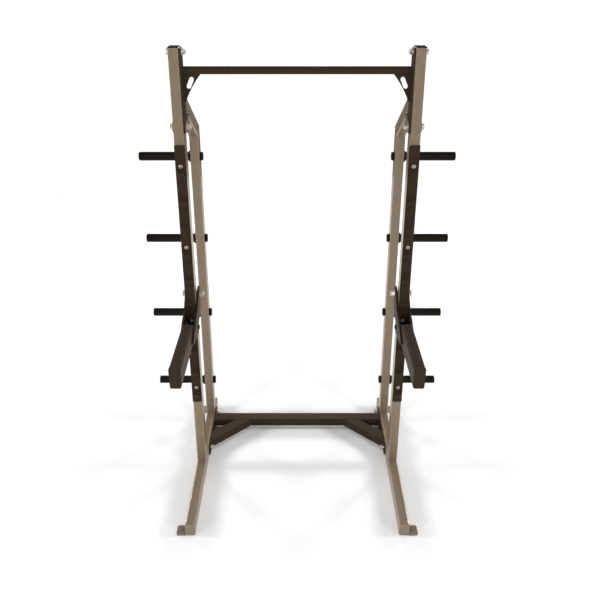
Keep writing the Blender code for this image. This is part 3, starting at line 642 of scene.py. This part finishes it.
def button_screw(name, centre):
    """Button-head socket screw whose head stands on a face that looks towards -Y."""
    r = SCREW_HEAD / 2
    tall = SCREW_HEAD * 0.29
    socket = SCREW_HEAD * 0.28
    dome = [(r, 0), (r, SCREW_RIM)]
    for degrees in (15, 30, 45, 58, 68):
        angle = math.radians(degrees)
        dome.append((r * math.cos(angle), SCREW_RIM + (tall - SCREW_RIM) * math.sin(angle)))
    bm = bmesh.new()
    lathe(bm, dome, 40)
    head = mesh_from(bm, "head")
    bm = bmesh.new()
    bmesh.ops.create_cone(bm, cap_ends=True, segments=6, radius1=socket * 0.86, radius2=socket,
                          depth=0.006, matrix=Matrix.Translation((0, 0, tall)))
    mesh = combined(head, mesh_from(bm, "socket"), 'DIFFERENCE')
    mesh.transform(Matrix.Translation(centre) @ Matrix.Rotation(math.pi / 2, 4, 'X'))
    smooth(mesh)
    piece(name, mesh, "zinc", "frame", finish=DULL_ZINC)


# ---- spotter arm ---------------------------------------------------------------------------
def arm_outline(peg, bolt_at, post_y):
    """Side plate in (y, z): its toe grips the arm's tube, its heel carries the rear bolt."""
    heel = arc(*bolt_at, ARM_HEEL, -15, 165, 28)
    toe = arc(post_y - ARM_TOE_AHEAD, ARM_TOE_Z, ARM_TOE, 105, 255, 14)
    # from heel to toe over the top, and back from the foot under the peg, with soft bends
    front = rounded([heel[-1], (post_y - 0.008, 1.072), (post_y - 0.095, 1.046),
                     toe[0]], (0, 0.05, 0.08, 0), 12)
    foot = arc(peg[0] + 0.002, peg[1] - 0.014, ARM_FOOT, 270, 355, 10)
    back = rounded([foot[-1], (peg[0] + 0.024, 0.994), (post_y + 0.086, 1.012), heel[0]],
                   (0, 0.012, 0.05, 0), 10)
    return heel[:-1] + front[:-1] + toe + foot[:-1] + back[:-1]


def spotter_arm(label, side):
    body = label + "_arm"
    peg_low, peg_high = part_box(label + "_arm_peg")
    peg = middle_of(peg_low, peg_high)
    bolt_at = middle_of(*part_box(label + "_arm_bolt"))
    post_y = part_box(label + "_front_post")[0].y
    peg_radius = (peg_high.z - peg_low.z) / 2
    loops = [arm_outline(peg.yz, bolt_at.yz, post_y), circle(*peg.yz, peg_radius + HOLE_SLACK),
             circle(*bolt_at.yz, ARM_BOLT / 2 + HOLE_SLACK)]
    for word in ("inner", "outer"):
        node = "%s_arm_%s_plate" % (label, word)
        low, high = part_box(node)
        mesh = prism("plate", loops, high.x - low.x)
        mesh.transform(Matrix.Translation((middle_of(low, high).x, 0, 0)) @ SIDE_VIEW)
        plate = piece("%s_arm_%s_side" % (label, word), mesh, "bronze_paint", body, [node])
        soften(plate, 0.0012, 3, 40)
    arm_peg(label)
    wear_strip(label, body)
    end_cap(label, body)
    bolt(label, label + "_arm_bolt", ARM_BOLT, side, body)
    arm_welds(label, body)


def arm_peg(label):
    """The peg that rests in a hook, with chamfered and slightly sunk ends."""
    low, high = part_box(label + "_arm_peg")
    middle = middle_of(low, high)
    radius = (high.z - low.z) / 2
    length = high.x - low.x
    edge = PEG_EDGE
    profile = [(radius - 0.006, 0.0006), (radius - 0.005, 0), (radius - edge, 0),
               (radius - edge * 0.3, edge * 0.3), (radius, edge), (radius, length - edge),
               (radius - edge * 0.3, length - edge * 0.3), (radius - edge, length),
               (radius - 0.005, length), (radius - 0.006, length - 0.0006)]
    bm = bmesh.new()
    lathe(bm, profile, 48, Matrix.Translation((low.x, middle.y, middle.z)) @ ALONG_X)
    mesh = mesh_from(bm, "peg")
    smooth(mesh)
    piece(label + "_seat_peg", mesh, "black_paint", label + "_arm_seat", [label + "_arm_peg"])


def wear_strip(label, body):
    """Half-round strip with its rear end cut on the slant."""
    node = label + "_arm_strip"
    low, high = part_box(node)
    middle = middle_of(low, high)
    half = (high.x - low.x) / 2
    loop = ([(half, 0), (half, STRIP_SIDE)] + arc(0, STRIP_SIDE, half, 0, 180, 36)[1:-1]
            + [(-half, STRIP_SIDE), (-half, 0)])
    loop = [(x, y * (high.z - low.z) / (half + STRIP_SIDE)) for x, y in loop]
    strip = prism("strip", [loop], high.y - low.y)
    strip.transform(Matrix.Translation((middle.x, middle.y, low.z)) @ FRONT_VIEW)
    cutter = 0.3
    normal = Vector((0, math.sin(STRIP_SLANT), math.cos(STRIP_SLANT)))
    turn = normal.to_track_quat('Z', 'Y').to_matrix().to_4x4()
    corner = Vector((middle.x, high.y, low.z))
    bm = bmesh.new()
    bmesh.ops.create_cube(bm, size=cutter,
                          matrix=Matrix.Translation(corner + normal * cutter / 2) @ turn)
    mesh = combined(strip, mesh_from(bm, "slant"), 'DIFFERENCE')
    smooth(mesh, 28)
    obj = piece(label + "_wear_strip", mesh, "brown_plastic", body, [node])
    soften(obj, 0.0008, 2, 35)


def end_cap(label, body):
    """Moulded cap: a rounded rim round a slightly raised face."""
    node = label + "_arm_cap"
    low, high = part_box(node)
    tube_low, tube_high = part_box(label + "_arm_tube")
    x = middle_of(low, high).x
    wide = (high.x - low.x) / 2
    narrow = (tube_high.x - tube_low.x) / 2
    depth = high.y - low.y

    def outline(inset):
        corner = CAP_FOOT - inset
        return (arc(0, tube_high.z, wide - inset, 0, 180, 28)
                + arc(-narrow + CAP_FOOT, low.z + CAP_FOOT, corner, 180, 270, 8)
                + arc(narrow - CAP_FOOT, low.z + CAP_FOOT, corner, 270, 360, 8))

    # how far each ring is in from the edge, and short of the cap's front
    layers = [(0.0, depth), (0.0, 0.004), (0.0006, 0.0022), (0.0018, 0.0008),
              (0.0036, 0.0002), (0.0046, 0), (0.0060, 0.0001), (0.0066, 0.0008),
              (0.0072, 0.0009)]
    bm = bmesh.new()
    skin(bm, [[bm.verts.new((x + px, low.y + short, pz)) for px, pz in outline(inset)]
              for inset, short in layers])
    mesh = mesh_from(bm, "cap")
    smooth(mesh, 40)
    piece(label + "_end_cap", mesh, "brown_plastic", body, [node])


# ---- welds ---------------------------------------------------------------------------------
def bead(name, points, slot, body="frame", radius=BEAD, closed=False):
    """Rippled weld bead along a line of points."""
    path = [Vector(p) for p in points]
    if closed:
        path.append(path[0])
    samples = []
    for a, b in zip(path, path[1:]):
        count = max(1, round((b - a).length / BEAD_STEP))
        samples += [a.lerp(b, i / count) for i in range(count)]
    samples.append(path[-1])
    last = len(samples) - 1
    bm = bmesh.new()
    rings = []
    for i, at in enumerate(samples):
        along = (samples[min(i + 1, last)] - samples[max(i - 1, 0)]).normalized()
        if abs(along.z) < 0.9:
            across = along.cross(Vector((0, 0, 1))).normalized()
        else:
            across = along.orthogonal().normalized()
        up = across.cross(along)
        size = radius * (1 - BEAD_RIPPLE * (i % 2))
        if not closed and i in (0, last):
            size *= BEAD_END
        rings.append([bm.verts.new(at + size * (across * math.cos(t) + up * math.sin(t)))
                      for t in (2 * math.pi * k / BEAD_SIDES for k in range(BEAD_SIDES))])
    skin(bm, rings)
    mesh = mesh_from(bm, "bead")
    smooth(mesh, 60)
    return piece(name, mesh, slot, body)


def ring_bead(name, centre, radius, slot):
    """Bead round a bar that lies along X."""
    points = [(centre.x, *point) for point in circle(centre.y, centre.z, radius, 48)]
    bead(name, points, slot, radius=BEAD * 0.9, closed=True)


def frame_welds(label, side):
    """Beads under the posts, round the feet, at the rail's end seam and at the mitre."""
    paint = "champagne_paint"
    corner = TUBE_CORNER
    rail_low, rail_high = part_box(label + "_base_rail")
    top = rail_high.z + 0.0004
    for word in ("front_post", "rear_post"):
        low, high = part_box("%s_%s" % (label, word))
        for tag, y in (("front", low.y), ("back", high.y)):
            bead("%s_%s_%s_weld" % (label, word, tag),
                 [(low.x + corner, y, top), (high.x - corner, y, top)], paint)
    for word in ("front_foot", "rear_foot"):
        low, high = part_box("%s_%s" % (label, word))
        x = low.x if side > 0 else high.x
        front, back, bottom = low.y + BEAD, high.y - BEAD, low.z + BEAD
        bead("%s_%s_weld" % (label, word),
             [(x, front, bottom), (x, front, high.z), (x, back, high.z), (x, back, bottom)],
             paint)
    seam = rail_low.y + 0.0065
    seam_top = rail_high.z - 0.0008
    bead(label + "_rail_end_top_weld",
         [(rail_low.x + corner, seam, seam_top), (rail_high.x - corner, seam, seam_top)],
         paint, radius=SEAM_BEAD)
    for tag, x in (("left", rail_low.x + 0.0008), ("right", rail_high.x - 0.0008)):
        bead("%s_rail_end_%s_weld" % (label, tag),
             [(x, seam, rail_low.z + corner), (x, seam, rail_high.z - corner)],
             paint, radius=SEAM_BEAD)
    brace_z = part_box(label + "_top_brace")[0].z
    post_low, post_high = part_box(label + "_rear_post")
    for tag, x in (("left", post_low.x + 0.0004), ("right", post_high.x - 0.0004)):
        bead("%s_mitre_%s_weld" % (label, tag),
             [(x, post_low.y + corner, brace_z + corner * 0.55),
              (x, post_high.y - corner, post_high.z - corner * 0.55)],
             paint, radius=MITRE_BEAD)
    inner = post_low.y + 0.0004
    bead(label + "_mitre_front_weld",
         [(post_low.x + corner, inner, brace_z), (post_high.x - corner, inner, brace_z)],
         paint, radius=MITRE_BEAD)


def plate_welds(label, side):
    """Beads on the bar's gusset and on the cross tube's and the diagonal's joints."""
    paint = "bronze_paint"

    def inner_and_outer(low, high):
        return (low.x, high.x) if side > 0 else (high.x, low.x)

    gusset_low, gusset_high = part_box(label + "_bar_gusset")
    free, wall = inner_and_outer(gusset_low, gusset_high)
    for tag, y in (("front", gusset_low.y), ("back", gusset_high.y)):
        bead("%s_gusset_%s_weld" % (label, tag),
             [(wall, y, gusset_low.z + 0.004), (wall, y, gusset_high.z),
              (free + side * 0.004, y, gusset_high.z)], paint, radius=GUSSET_BEAD)
    plate_x, _ = inner_and_outer(*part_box(label + "_cross_plate"))
    cross_low, cross_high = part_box("cross_tube")
    for tag, y in (("front", cross_low.y), ("back", cross_high.y)):
        bead("%s_cross_%s_weld" % (label, tag),
             [(plate_x, y, cross_low.z + 0.004), (plate_x, y, cross_high.z - 0.004)], paint)
    low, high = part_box(label + "_diagonal")
    tube_x, _ = inner_and_outer(low, high)
    for tag, x, y in (("plate", plate_x, low.y), ("tube", tube_x, cross_low.y)):
        bead("%s_diagonal_%s_weld" % (label, tag),
             [(x, y, low.z + 0.006), (x, y, high.z - 0.006)], paint)


def arm_welds(label, body):
    """Beads between the arm's tube and its side plates, low on the tube's sides."""
    tube_low, tube_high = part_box(label + "_arm_tube")
    tube_x = middle_of(tube_low, tube_high).x
    for word in ("inner", "outer"):
        plate_low, plate_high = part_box("%s_arm_%s_plate" % (label, word))
        x = plate_low.x if plate_low.x > tube_x else plate_high.x
        bead("%s_arm_%s_weld" % (label, word),
             [(x, plate_low.y + 0.02, tube_low.z + 0.012),
              (x, tube_high.y - 0.02, tube_low.z + 0.004)], "bronze_paint", body, ARM_BEAD)


# ---- studio --------------------------------------------------------------------------------
def studio():
    """White floor, a sky that lights more from above, and a ring of soft lights."""
    bm = bmesh.new()
    bmesh.ops.create_circle(bm, cap_ends=True, segments=96, radius=FLOOR_RADIUS)
    floor = bpy.data.objects.new("floor", mesh_from(bm, "floor"))
    bpy.context.scene.collection.objects.link(floor)
    floor.location = (0, 0, CAD_BOX[0][2])
    floor.data.materials.append(FLOOR)
    world = bpy.data.worlds.new("studio")
    bpy.context.scene.world = world
    world.use_nodes = True
    nodes = world.node_tree.nodes
    links = world.node_tree.links
    sky = nodes["Background"]
    seen = nodes.new("ShaderNodeBackground")
    for background in (sky, seen):
        background.inputs["Color"].default_value = (1, 1, 1, 1)
    seen.inputs["Strength"].default_value = BACKDROP
    height = nodes.new("ShaderNodeSeparateXYZ")
    ramp = nodes.new("ShaderNodeMapRange")
    ramp.inputs["To Min"].default_value = SKY_LOW
    ramp.inputs["To Max"].default_value = SKY_HIGH
    links.new(nodes.new("ShaderNodeTexCoord").outputs["Generated"], height.inputs["Vector"])
    links.new(height.outputs["Z"], ramp.inputs["Value"])
    links.new(ramp.outputs["Result"], sky.inputs["Strength"])
    path = nodes.new("ShaderNodeLightPath")
    mix = nodes.new("ShaderNodeMixShader")
    links.new(path.outputs["Is Camera Ray"], mix.inputs["Fac"])
    links.new(sky.outputs["Background"], mix.inputs[1])
    links.new(seen.outputs["Background"], mix.inputs[2])
    links.new(mix.outputs["Shader"], nodes["World Output"].inputs["Surface"])
    for index in range(RING_LIGHTS):
        angle = 2 * math.pi * index / RING_LIGHTS
        place = (RING_RADIUS * math.sin(angle), RING_RADIUS * math.cos(angle), RING_HEIGHT)
        soft_light("ring_%d" % index, place,
                   SIDE_POWER if index in SIDE_LIGHTS else RING_POWER)


def soft_light(name, place, power):
    light = bpy.data.lights.new(name, 'AREA')
    light.size = LIGHT_SIZE
    light.energy = power
    obj = bpy.data.objects.new(name, light)
    bpy.context.scene.collection.objects.link(obj)
    obj.location = place
    look = Vector((0, 0, AIM_HEIGHT)) - Vector(place)
    obj.rotation_euler = look.to_track_quat('-Z', 'Y').to_euler()


def camera():
    data = bpy.data.cameras.new("camera")
    data.sensor_width = 36
    data.lens = CAMERA_LENS
    data.shift_x = CAMERA_SHIFT
    obj = bpy.data.objects.new("camera", data)
    bpy.context.scene.collection.objects.link(obj)
    obj.location = CAMERA_PLACE
    obj.rotation_euler = (CAMERA_TILT, 0, 0)
    bpy.context.scene.camera = obj


bpy.context.scene.view_settings.view_transform = 'Standard'
camera()
studio()
refine_kept_nodes()
pull_up_bar()
for side_label, side_sign in SIDES:
    storage_horns(side_label, side_sign)
    rack_rail(side_label)
    for node_word in ("bar_bolt", "brace_bolt"):
        bolt(side_label, "%s_%s" % (side_label, node_word), FRAME_BOLT, side_sign, "frame")
    for node_word in ("cross_front_bolt", "cross_rear_bolt"):
        bolt(side_label, "%s_%s" % (side_label, node_word), FRAME_BOLT, side_sign, "frame",
             head_inside=True)
    spotter_arm(side_label, side_sign)
    frame_welds(side_label, side_sign)
    plate_welds(side_label, side_sign)
